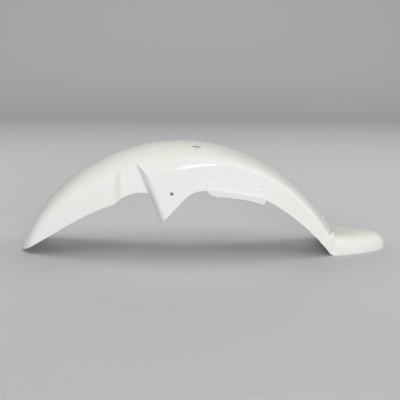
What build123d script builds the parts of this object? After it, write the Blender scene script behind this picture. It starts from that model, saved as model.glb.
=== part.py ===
from build123d import *
from math import cos, exp, hypot, radians, sin, tan
import os

# Motorcycle front mudguard, moulded in one piece, lying on its front tip and its tail flap.
# All sizes in millimetres. +X runs from the front tip to the tail flap, +Y across, +Z up.
# It is drawn with the wheel axle at the origin, and set down on the floor at the end.
# Angles around the axle are in degrees from straight up, and positive towards the tail.

# Shell
wall = 3.0
crown_radius = 335.0
half_width = 65.0
guard_height = 206.0
floor_tilt = 0.33

# Cross-section of the arch: a tall dome over the fork, a flat crown with tight shoulders at the ends
dome_rise = 56.0
front_rise = 22.0
tip_rise = 16.0
tail_rise = 15.0
dome_angle = -14.0
dome_spread = 26.0
ellipse_pull = 0.5523

# Span of the arch around the axle, with the front tip tucked in towards the wheel
front_angle = -71.0
tail_angle = 67.0
station_count = 14
tip_reach = 301.5
tuck_angle = -57.0
tuck_depth = 7.0
tuck_span = 10.0
wall_reach = 160.0

# Fork recess: a flat floor, a sloping step behind it, and a soft ramp ahead of it
recess_depth = 11.0
rim_overlap = 0.1
recess_run = 90.0
recess_reach = 150.0
step_angle = -13.85
step_height = 81.0
step_lean = 20.6
step_draft = 42.0
step_foot_radius = 7.0
step_rim_radius = 14.0
ramp_angle = -21.3
ramp_height = 55.0
ramp_draft = 48.0
ramp_foot_radius = 12.0
ramp_rim_radius = 16.0

# Bolt hole in the lug
bolt_angle = -2.8
bolt_depth = 89.6
bolt_hole_diameter = 6.5

# Lip along the lower edge behind the lug: a joggle out to a ridge, then a flange that tucks in
lip_step = 3.5
lip_rise = 6.0
lip_tuck = 11.0
lip_round = 4.0
lip_root = 10.0
lip_drop = 40.0
lip_front_angle = 11.4
lip_front_depth = 74.6
lip_rear_angle = 34.15
lip_rear_depth = 47.2

# Two low round bosses above the ends of the lip, each with a dimple
boss_radius = 8.0
boss_step = 1.5
dimple_radius = 3.5
dimple_depth = 1.0

# Tail flap: a foot that closes the tail, and a rounded toe behind it
foot_angle = 59.2
foot_rise = 1.3
foot_slope = 20.9
foot_overhang = 1.5
foot_run = 55.0
foot_heel = 2.0
heel_round = 5.0
heel_slope = 46.0
foot_corner_radius = 10.0
foot_edge_radius = 2.0
foot_back = 1.0
foot_back_bow = 4.0
toe_lap = 9.0
toe_gap = 0.1
toe_length = 107.5
toe_height = 34.0
toe_fall = 0.06
toe_flare = 4.0
flare_span = 0.06
toe_taper = 1.2
toe_bluntness = 1.8
nose_taper = 6.5
nose_bluntness = 2.3
toe_side_pull = 1.05
toe_top_pull = 0.92
toe_turns = (0, 3, 7, 14, 24, 36, 48, 60, 71, 80, 86)

os.makedirs("parts", exist_ok=True)


def around(angle, depth):
    """Side-view point at an angle around the axle and a depth below the crown."""
    radius = crown_radius - depth
    return (radius * sin(radians(angle)), radius * cos(radians(angle)))


def lean_plane(x, z, slope):
    """Plane across the guard, tilted in side view, with its normal up and to the front or back."""
    tilt = radians(slope)
    return Plane(origin=(x, 0, z), x_dir=(0, 1, 0), z_dir=(-sin(tilt), 0, cos(tilt)))


below = 6.0
beyond = 30.0
floor_z = crown_radius - guard_height
recess_floor = half_width - recess_depth
recess_rim = half_width + rim_overlap
foot_half_width = half_width + foot_overhang
foot_x, foot_z = around(foot_angle, -foot_rise)
foot_climb = tan(radians(foot_slope))
toe_root = foot_x + foot_back

side = Plane(origin=(0, 0, 0), x_dir=(1, 0, 0), z_dir=(0, -1, 0))
foot_plane = lean_plane(foot_x, foot_z, foot_slope)

step_x, step_z = around(step_angle, step_height)
lean = radians(step_lean)
step_plane = Plane(
    origin=(step_x, 0, step_z),
    x_dir=(cos(lean), 0, sin(lean)),
    z_dir=(sin(lean), 0, -cos(lean)),
)
ramp_x, ramp_z = around(ramp_angle, ramp_height)
ramp_plane = Plane(origin=(ramp_x, 0, ramp_z), x_dir=(-1, 0, 0), z_dir=(0, 0, 1))
recess_ends = (
    (step_plane, step_draft, step_foot_radius, step_rim_radius, Mode.ADD),
    (ramp_plane, ramp_draft, ramp_foot_radius, ramp_rim_radius, Mode.INTERSECT),
)

lip_front_x, lip_front_z = around(lip_front_angle, lip_front_depth)
lip_rear_x, lip_rear_z = around(lip_rear_angle, lip_rear_depth)
lip_length = hypot(lip_front_x - lip_rear_x, lip_front_z - lip_rear_z)
lip_plane = Plane(
    origin=(lip_rear_x, 0, lip_rear_z),
    x_dir=(0, -1, 0),
    z_dir=(lip_front_x - lip_rear_x, 0, lip_front_z - lip_rear_z),
)
bosses = (around(12.3, 65.5), around(30.3, 47.5))
boss_ball = (boss_radius**2 + boss_step**2) / (2 * boss_step)

stations = []
for step in range(station_count):
    stations.append(front_angle + (tail_angle - front_angle) * step / (station_count - 1))

# Two closed bodies, the outside of the guard and the hollow inside it
bodies = []
for inset in (0.0, wall):
    with BuildPart() as toe:
        toe_run = toe_length - foot_back - inset
        for turn in toe_turns:
            along = sin(radians(turn))
            w = (foot_half_width - toe_gap - inset) * (1 - along**toe_taper) ** (1 / toe_bluntness)
            crown = (1 - toe_fall * along) * (1 - along**nose_taper) ** (1 / nose_bluntness)
            top = (toe_height - inset + toe_flare * exp(-along / flare_span)) * crown
            side_pull = top * (toe_side_pull + (ellipse_pull - toe_side_pull) * along)
            top_pull = w * (toe_top_pull + (ellipse_pull - toe_top_pull) * along)
            place = (toe_root + toe_run * along, 0, floor_z)
            with BuildSketch(Plane(place, x_dir=(0, 1, 0), z_dir=(1, 0, 0))):
                with BuildLine():
                    Line((-w, -below), (-w, 0))
                    Bezier((-w, 0), (-w, side_pull), (-top_pull, top), (0, top))
                    Bezier((0, top), (top_pull, top), (w, side_pull), (w, 0))
                    Line((w, 0), (w, -below))
                    Line((w, -below), (-w, -below))
                make_face()
        loft()
        extrude(toe.faces().sort_by(Axis.X)[0], amount=toe_lap)

    with BuildPart() as foot:
        with BuildSketch(side):
            with BuildLine():
                low = floor_z - below
                fore = foot_x - foot_run
                aft = foot_x + 2 * toe_lap
                crest = foot_z - inset / cos(radians(foot_slope))
                Polyline(
                    (fore, low),
                    (aft, low),
                    (aft, crest + foot_climb * (aft - foot_x)),
                    (fore, crest + foot_climb * (fore - foot_x)),
                    close=True,
                )
            make_face()
        extrude(amount=foot_half_width - inset, both=True)
        top_sides = foot.faces().sort_by(Axis.Z)[-1].edges().filter_by(lambda e: abs(e.center().Y) > 1)
        fillet(top_sides, foot_corner_radius - inset)
        with BuildSketch(Plane.XY.offset(low)):
            with BuildLine():
                back = foot_x + foot_back - inset
                Line((fore, foot_half_width), (fore, -foot_half_width))
                Line((fore, -foot_half_width), (back, -foot_half_width))
                ThreePointArc(
                    (back, -foot_half_width), (back + foot_back_bow, 0), (back, foot_half_width)
                )
                Line((back, foot_half_width), (fore, foot_half_width))
            make_face()
        extrude(amount=crown_radius, mode=Mode.INTERSECT)
        if not inset:
            back_edges = foot.faces().sort_by(Axis.X)[-1].edges()
            fillet(back_edges.filter_by(lambda e: e.center().Z > floor_z + below), foot_edge_radius)

    with BuildPart() as lip:
        with BuildSketch(lip_plane.offset(inset)) as lip_section:
            with BuildLine():
                root = half_width - lip_root
                ridge = half_width + lip_step
                Polyline(
                    (ridge, 0),
                    (root, lip_rise * (lip_step + lip_root) / lip_step),
                    (root, -lip_drop),
                    (ridge - lip_drop * tan(radians(lip_tuck)), -lip_drop),
                    close=True,
                )
            make_face()
            if inset:
                offset(amount=-inset)
            else:
                fillet(lip_section.vertices().sort_by(Axis.X)[-1], lip_round)
        extrude(amount=lip_length - 2 * inset)
        for x, z in bosses:
            with Locations((x, boss_ball - half_width - boss_step, z)):
                Sphere(boss_ball - inset)
        mirror(about=Plane.XZ)

    with BuildPart() as recess:
        for plane, draft, foot_radius, rim_radius, mode in recess_ends:
            with BuildSketch(plane):
                with BuildLine():
                    turn = 90 - draft
                    flat = Line((-recess_run, recess_floor), (0, recess_floor))
                    hollow = JernArc(flat @ 1, flat % 1, foot_radius, turn)
                    rounding = (foot_radius + rim_radius) * (1 - cos(radians(turn)))
                    rise = recess_rim - recess_floor - rounding
                    slope = PolarLine(hollow @ 1, rise / sin(radians(turn)), turn)
                    rim = JernArc(slope @ 1, slope % 1, rim_radius, -turn)
                    far = recess_rim + beyond
                    Polyline(rim @ 1, rim @ 1 + Vector(0, beyond), (-recess_run, far), flat @ 0)
                make_face()
                if inset:
                    offset(amount=inset)
            extrude(amount=recess_reach, both=True, mode=mode)
        mirror(about=Plane.XZ)

    with BuildPart() as body:
        for angle in stations:
            end_rise = front_rise if angle < dome_angle else tail_rise
            bump = exp(-(((angle - dome_angle) / dome_spread) ** 2))
            tuck = (max(0.0, tuck_angle - angle) / tuck_span) ** 2
            dome = end_rise + (dome_rise - end_rise) * bump + tip_rise * tuck
            top = crown_radius - tuck_depth * tuck - inset
            spring = top - dome
            pull = spring + ellipse_pull * dome
            w = half_width - inset
            base = crown_radius - wall_reach - inset
            turn = radians(angle)
            with BuildSketch(Plane((0, 0, 0), x_dir=(0, 1, 0), z_dir=(cos(turn), 0, -sin(turn)))):
                with BuildLine():
                    Line((-w, base), (-w, spring))
                    Bezier((-w, spring), (-w, pull), (-ellipse_pull * w, top), (0, top))
                    Bezier((0, top), (ellipse_pull * w, top), (w, pull), (w, spring))
                    Line((w, spring), (w, base))
                    Line((w, base), (-w, base))
                make_face()
        loft()
        split(bisect_by=foot_plane.offset(-2 * wall), keep=Keep.TOP)
        add(foot.part)
        add(toe.part)
        add(lip.part)
        add(recess.part, mode=Mode.SUBTRACT)
    bodies.append(body.part)

# The shell, cut to its side outline, with the bolt holes and dimples
with BuildPart() as mudguard:
    add(bodies[0])
    add(bodies[1], mode=Mode.SUBTRACT)
    with BuildSketch(side):
        with BuildLine():
            reach = 1.3 * crown_radius
            fall = tan(radians(floor_tilt))
            tip = (-tip_reach, floor_z + fall * tip_reach)
            front = Spline(tip, around(-60.5, 30), around(-44.2, 63.3), around(-27.6, 80.5))
            mouth = Spline(front @ 1, around(-21.1, 77), around(-16.1, 79.7), around(-12.4, 86.2))
            lug_front = Line(mouth @ 1, around(-10.55, 136.3))
            lug_tip = ThreePointArc(lug_front @ 1, around(-10.0, 141.3), around(-8.3, 140.6))
            lug_rear = Line(lug_tip @ 1, around(2.7, 100.9))
            web = Spline(lug_rear @ 1, around(6.05, 88.1), around(10.8, 79.6))
            lip_start = Line(web @ 1, around(11.9, 78.3))
            lip_corner = Spline(lip_start @ 1, around(14.6, 85.2), around(17.2, 84.6))
            lip_edge = ThreePointArc(lip_corner @ 1, around(25.9, 73.5), around(33.4, 62.8))
            lip_heel = ThreePointArc(lip_edge @ 1, around(34.6, 60.9), around(35.25, 57.8))
            notch = Polyline(lip_heel @ 1, around(34.7, 52.2), around(35.2, 50.5))
            heel_x = foot_x - foot_heel
            heel_z = floor_z - fall * foot_x
            heel_rise = heel_round * sin(radians(heel_slope))
            heel_top = (heel_x - heel_round * cos(radians(heel_slope)), heel_z + heel_rise)
            heel_low = (heel_x + heel_round, heel_z - fall * heel_round)
            ThreePointArc(notch @ 1, around(50, 39.4), heel_top)
            TangentArc(heel_low, heel_top, tangent=(-1, fall))
            Polyline(
                heel_low,
                (reach, floor_z - fall * reach),
                (reach, reach),
                (-reach, reach),
                (-reach, floor_z + fall * reach),
                tip,
            )
        make_face()
    extrude(amount=2 * half_width, both=True, mode=Mode.INTERSECT)
    bolt_x, bolt_z = around(bolt_angle, bolt_depth)
    with Locations(Plane((bolt_x, 0, bolt_z), x_dir=(1, 0, 0), z_dir=(0, -1, 0))):
        Cylinder(bolt_hole_diameter / 2, 4 * half_width, mode=Mode.SUBTRACT)
    dimple_y = half_width + boss_step + dimple_radius - dimple_depth
    for x, z in bosses:
        with Locations((x, -dimple_y, z), (x, dimple_y, z)):
            Sphere(dimple_radius, mode=Mode.SUBTRACT)

# Set down on the floor, with the middle of the footprint at the origin
level = Rot(0, -floor_tilt, 0) * mudguard.part
box = level.bounding_box()
mudguard.part = Pos(-(box.min.X + box.max.X) / 2, 0, -box.min.Z) * level
mudguard.part.label = "mudguard"
export_step(mudguard.part, "parts/mudguard.step")
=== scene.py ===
from math import cos, radians, sin

import bpy
from mathutils import Matrix, Vector

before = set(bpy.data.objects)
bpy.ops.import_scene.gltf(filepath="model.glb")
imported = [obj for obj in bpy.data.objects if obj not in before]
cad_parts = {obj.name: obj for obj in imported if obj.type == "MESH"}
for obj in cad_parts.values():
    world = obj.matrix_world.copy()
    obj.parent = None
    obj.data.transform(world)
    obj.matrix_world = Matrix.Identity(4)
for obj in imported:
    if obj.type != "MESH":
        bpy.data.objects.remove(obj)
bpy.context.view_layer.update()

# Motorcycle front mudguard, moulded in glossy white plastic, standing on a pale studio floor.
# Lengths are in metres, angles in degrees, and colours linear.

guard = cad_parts["mudguard"]

# Where the wheel axle lies in the frame, and the tilt of the guard as it stands
AXLE = Vector((-0.0456, 0.0, -0.1290))
STAND_TILT = -0.33

# Camera of the photograph, seen from the axle
PHOTO_WIDTH = 400
CAMERA_AIM = Vector((0.0398, 0.0, 0.2194))
CAMERA_DISTANCE = 1.8
CAMERA_ELEVATION = 12.5
FOCAL_PIXELS = 938.6
SENSOR_WIDTH = 36.0

# Floor, with a bend that turns it up into a backdrop
FLOOR_HALF_WIDTH = 6.0
FLOOR_FRONT = -4.0
BACKDROP_PLACE = 3.0
BACKDROP_HEIGHT = 3.5
BACKDROP_BEND = 1.2
BEND_STEPS = 16
FLOOR_GREY = (0.60, 0.605, 0.61, 1.0)
FLOOR_BOUNCE = (0.08, 0.08, 0.08, 1.0)
FLOOR_ROUGHNESS = 0.9

# Room light, and lamps aimed at the guard; azimuth 0 is on the camera's side
STUDIO_GREY = (0.80, 0.82, 0.85, 1.0)
STUDIO_STRENGTH = 0.37
LAMP_AIM = Vector((0.0, 0.0, 0.1))
NARROW = 80.0
OPEN = 180.0
# Name, azimuth, elevation, distance, width, height, watts, spread, and whether the gloss shows it
LAMPS = (
    ("key_softbox", 7.0, 9.0, 4.5, 2.6, 1.0, 32.5, NARROW, False),
    ("gloss_strip", -1.6, 6.0, 2.2, 0.20, 0.50, 0.55, NARROW, True),
    ("back_light", 180.0, 22.0, 2.4, 1.6, 0.8, 3.0, NARROW, False),
    ("top_light", 0.0, 72.0, 2.4, 1.8, 1.2, 6.0, OPEN, False),
    ("tail_fill", 110.0, 32.0, 2.4, 1.0, 1.0, 16.0, OPEN, False),
    ("front_fill", -115.0, 35.0, 2.4, 1.0, 1.0, 14.0, OPEN, False),
)

# Colours of the plastic, its dust and its scuffs
PLASTIC_WHITE = (0.81, 0.81, 0.79, 1.0)
PLASTIC_WARM_TINT = (0.77, 0.755, 0.68, 1.0)
DUST_GREY = (0.56, 0.55, 0.50, 1.0)
SCUFF_DARK = (0.10, 0.10, 0.09, 1.0)

# How many noise waves, specks or grains there are to a metre
MOTTLING_SCALE = 11.0
DUST_SCALE = 95.0
PEEL_SCALE = 420.0
SPECK_SCALE = 130.0
HAIRLINE_SCALE = (9.0, 240.0, 900.0)
HAIRLINE_PATCH_SCALE = 14.0
SCUFF_GRAIN_SCALE = 700.0

# Strength of each mark, from 0 to 1
# Share of the warmer, darker tint on faces that look up, set by their facing alone
UPWARD_TINT = 0.62
MOTTLED_AGEING = 0.35
DUST_STRENGTH = 0.07
SPECK_STRENGTH = 0.5
SCUFF_RAGGEDNESS = 1.3

# Roughness of the gloss where it is best and worst, and what each mark adds to it
GLOSS_BEST = 0.08
GLOSS_WORST = 0.13
HAIRLINE_ROUGHNESS = 0.16
DUST_ROUGHNESS = 0.8
SCUFF_ROUGHNESS = 0.3

# Orange peel and hairlines in the surface
PEEL_HEIGHT = 0.35
HAIRLINE_DEPTH = 0.5
BUMP_STRENGTH = 0.12
BUMP_DISTANCE = 0.0002

# Scuffs on the near side of the crown: centre, half-length, half-width and strength
SCUFF_TILT = (0.0, radians(8.0), 0.0)
SCUFF_DEPTH = 0.0036
SCUFFS = (
    (Vector((-0.0150, -0.0330, 0.1993)), 0.0100, 0.0017, 0.74),
    (Vector((-0.0080, -0.0360, 0.1975)), 0.0040, 0.0012, 0.25),
    (Vector((-0.0150, -0.0430, 0.1949)), 0.0060, 0.0016, 0.12),
)


def stand():
    """Turns axle coordinates into the frame's."""
    return Matrix.Translation(AXLE) @ Matrix.Rotation(radians(STAND_TILT), 4, "Y")


def make_camera():
    """The photograph's camera: a long lens, a little above the guard, square to its left side."""
    lens = bpy.data.cameras.new("photo_camera")
    lens.sensor_width = SENSOR_WIDTH
    lens.lens = FOCAL_PIXELS / PHOTO_WIDTH * SENSOR_WIDTH
    camera = bpy.data.objects.new("photo_camera", lens)
    bpy.context.scene.collection.objects.link(camera)
    rise = radians(CAMERA_ELEVATION)
    back = Vector((0.0, -cos(rise), sin(rise))) * CAMERA_DISTANCE
    place = Matrix.Translation(CAMERA_AIM + back) @ Matrix.Rotation(radians(90) - rise, 4, "X")
    camera.matrix_world = stand() @ place
    bpy.context.scene.camera = camera


class Nodes:
    """Adds nodes to a material and links them."""

    def __init__(self, material):
        self.tree = material.node_tree
        self.shader = self.tree.nodes["Principled BSDF"]

    def add(self, kind, inputs=None, **settings):
        """A new node, with its inputs given by socket name or number."""
        node = self.tree.nodes.new(kind)
        for name, value in settings.items():
            setattr(node, name, value)
        for socket, value in (inputs or {}).items():
            if isinstance(value, bpy.types.NodeSocket):
                self.tree.links.new(value, node.inputs[socket])
            else:
                node.inputs[socket].default_value = value
        return node

    def shade(self, socket, value):
        """Links a value that changes over the surface to the shader."""
        self.tree.links.new(value, self.shader.inputs[socket])

    def math(self, operation, first, second):
        return self.add("ShaderNodeMath", {0: first, 1: second}, operation=operation).outputs[0]

    def ramp(self, value, low, high, bottom=0.0, top=1.0):
        """Smooth step of a value from one range to another."""
        inputs = {0: value, 1: low, 2: high, 3: bottom, 4: top}
        return self.add("ShaderNodeMapRange", inputs, interpolation_type="SMOOTHSTEP").outputs[0]

    def noise(self, place, scale, detail, roughness=0.5):
        inputs = {"Vector": place, "Scale": scale, "Detail": detail, "Roughness": roughness}
        return self.add("ShaderNodeTexNoise", inputs).outputs[0]

    def mix(self, factor, first, second):
        inputs = {0: factor, 6: first, 7: second}
        return self.add("ShaderNodeMix", inputs, data_type="RGBA", blend_type="MIX").outputs[2]


def make_floor():
    """A pale floor that turns up into a backdrop far behind the guard."""
    profile = [(FLOOR_FRONT, 0.0)]
    for step in range(BEND_STEPS + 1):
        turn = radians(90) * step / BEND_STEPS
        y = BACKDROP_PLACE - BACKDROP_BEND + BACKDROP_BEND * sin(turn)
        profile.append((y, BACKDROP_BEND - BACKDROP_BEND * cos(turn)))
    profile.append((BACKDROP_PLACE, BACKDROP_HEIGHT))
    verts = []
    for y, z in profile:
        verts += [(-FLOOR_HALF_WIDTH, y, z), (FLOOR_HALF_WIDTH, y, z)]
    faces = [(2 * i, 2 * i + 1, 2 * i + 3, 2 * i + 2) for i in range(len(profile) - 1)]
    mesh = bpy.data.meshes.new("studio_floor")
    mesh.from_pydata(verts, [], faces)
    for face in mesh.polygons:
        face.use_smooth = True
    floor = bpy.data.objects.new("studio_floor", mesh)
    bpy.context.scene.collection.objects.link(floor)

    # Pale where it is seen or mirrored, dark in the light that it throws back on the guard
    material = bpy.data.materials.new("studio_floor")
    material.use_nodes = True
    nodes = Nodes(material)
    rays = nodes.add("ShaderNodeLightPath").outputs
    mirrored = nodes.math("MAXIMUM", rays["Is Glossy Ray"], rays["Is Transmission Ray"])
    seen = nodes.math("MAXIMUM", rays["Is Camera Ray"], mirrored)
    nodes.shade("Base Color", nodes.mix(seen, FLOOR_BOUNCE, FLOOR_GREY))
    nodes.shader.inputs["Roughness"].default_value = FLOOR_ROUGHNESS
    mesh.materials.append(material)


def add_lamp(name, azimuth, elevation, distance, width, height, power, spread, mirrored):
    """A rectangular lamp aimed at the guard."""
    lamp = bpy.data.lights.new(name, "AREA")
    lamp.shape = "RECTANGLE"
    lamp.size = width
    lamp.size_y = height
    lamp.energy = power
    lamp.spread = radians(spread)
    holder = bpy.data.objects.new(name, lamp)
    bpy.context.scene.collection.objects.link(holder)
    turn, rise = radians(azimuth), radians(elevation)
    away = Vector((sin(turn) * cos(rise), -cos(turn) * cos(rise), sin(rise)))
    holder.location = LAMP_AIM + away * distance
    holder.rotation_euler = away.to_track_quat("Z", "Y").to_euler()
    holder.visible_glossy = mirrored


def make_light():
    """Soft light from the camera's side, a narrow lamp that shows in the gloss, and a grey room."""
    world = bpy.data.worlds.new("studio")
    world.use_nodes = True
    bpy.context.scene.world = world
    room = world.node_tree.nodes["Background"].inputs
    room["Color"].default_value = STUDIO_GREY
    room["Strength"].default_value = STUDIO_STRENGTH
    for lamp in LAMPS:
        add_lamp(*lamp)


def upward(nodes):
    """How far a face looks up, from 0 on the walls to 1 on the crown."""
    normal = nodes.add("ShaderNodeNewGeometry").outputs["Normal"]
    lift = nodes.add("ShaderNodeSeparateXYZ", {0: normal}).outputs[2]
    return nodes.ramp(lift, 0.25, 0.95)


def scratches(nodes, place):
    """Fine hairline scratches along the guard, sparse and broken up."""
    stretched = nodes.add("ShaderNodeMapping", {"Vector": place, "Scale": HAIRLINE_SCALE}).outputs[0]
    lines = nodes.ramp(nodes.noise(stretched, 1.0, 2.0), 0.66, 0.74)
    patches = nodes.ramp(nodes.noise(place, HAIRLINE_PATCH_SCALE, 2.0), 0.46, 0.62)
    return nodes.math("MULTIPLY", lines, patches)


def specks(nodes, place):
    """Small specks of road dust, in about a tenth of the cells."""
    inputs = {"Vector": place, "Scale": SPECK_SCALE}
    cells = nodes.add("ShaderNodeTexVoronoi", inputs, feature="F1", distance="EUCLIDEAN").outputs
    dots = nodes.ramp(cells["Distance"], 0.05, 0.11, 1.0, 0.0)
    chosen = nodes.add("ShaderNodeSeparateColor", {0: cells["Color"]}).outputs[0]
    return nodes.math("MULTIPLY", dots, nodes.ramp(chosen, 0.90, 0.93))


def scuffs(nodes, place):
    """Dark rubbed dashes on the crown, with ragged edges."""
    grain = nodes.math("SUBTRACT", nodes.noise(place, SCUFF_GRAIN_SCALE, 3.0), 0.5)
    ragged = nodes.math("MULTIPLY", grain, SCUFF_RAGGEDNESS)
    total = 0.0
    for centre, half_length, half_width, strength in SCUFFS:
        inputs = {
            "Vector": place,
            "Location": centre,
            "Rotation": SCUFF_TILT,
            "Scale": (half_length, SCUFF_DEPTH, half_width),
        }
        local = nodes.add("ShaderNodeMapping", inputs, vector_type="TEXTURE").outputs[0]
        reach = nodes.add("ShaderNodeVectorMath", {0: local}, operation="LENGTH").outputs["Value"]
        mark = nodes.ramp(nodes.math("ADD", reach, ragged), 0.55, 1.15, strength, 0.0)
        total = nodes.math("MAXIMUM", mark, total)
    return total


def make_plastic():
    """Glossy white plastic, warmer and darker in tone on faces that look up and in random patches,
    dusty on top, with hairlines, specks and a scuffed crown.
    """
    material = bpy.data.materials.new("white_gloss")
    material.use_nodes = True
    nodes = Nodes(material)
    place = nodes.add("ShaderNodeTexCoord").outputs["Object"]
    mottling = nodes.noise(place, MOTTLING_SCALE, 4.0, 0.6)
    top = upward(nodes)
    hairlines = scratches(nodes, place)
    marks = scuffs(nodes, place)

    # Colour
    # Faces that look up get a warmer, darker tint by their facing alone; the mottled part is random
    # tone in the plastic
    upward_tint_share = nodes.math("MULTIPLY", top, UPWARD_TINT)
    tint_share = nodes.math("ADD", upward_tint_share, nodes.ramp(mottling, 0.42, 0.72, 0.0, MOTTLED_AGEING))
    colour = nodes.mix(nodes.math("MINIMUM", tint_share, 1.0), PLASTIC_WHITE, PLASTIC_WARM_TINT)
    settled = nodes.ramp(nodes.noise(place, DUST_SCALE, 3.0), 0.35, 0.8)
    dust = nodes.math("MULTIPLY", nodes.math("MULTIPLY", top, settled), DUST_STRENGTH)
    colour = nodes.mix(dust, colour, DUST_GREY)
    dots = nodes.math("MULTIPLY", specks(nodes, place), SPECK_STRENGTH)
    colour = nodes.mix(dots, colour, DUST_GREY)
    nodes.shade("Base Color", nodes.mix(marks, colour, SCUFF_DARK))

    # Gloss
    roughness = nodes.ramp(mottling, 0.3, 0.75, GLOSS_BEST, GLOSS_WORST)
    dulled = ((hairlines, HAIRLINE_ROUGHNESS), (dust, DUST_ROUGHNESS), (marks, SCUFF_ROUGHNESS))
    for mark, added in dulled:
        roughness = nodes.math("ADD", roughness, nodes.math("MULTIPLY", mark, added))
    nodes.shade("Roughness", roughness)

    # Surface
    peel = nodes.math("MULTIPLY", nodes.noise(place, PEEL_SCALE, 2.0), PEEL_HEIGHT)
    height = nodes.math("SUBTRACT", peel, nodes.math("MULTIPLY", hairlines, HAIRLINE_DEPTH))
    inputs = {"Strength": BUMP_STRENGTH, "Distance": BUMP_DISTANCE, "Height": height}
    nodes.shade("Normal", nodes.add("ShaderNodeBump", inputs).outputs["Normal"])
    return material


make_camera()
make_floor()
make_light()
guard.data.materials.clear()
guard.data.materials.append(make_plastic())

bpy.context.scene.view_settings.view_transform = "Standard"
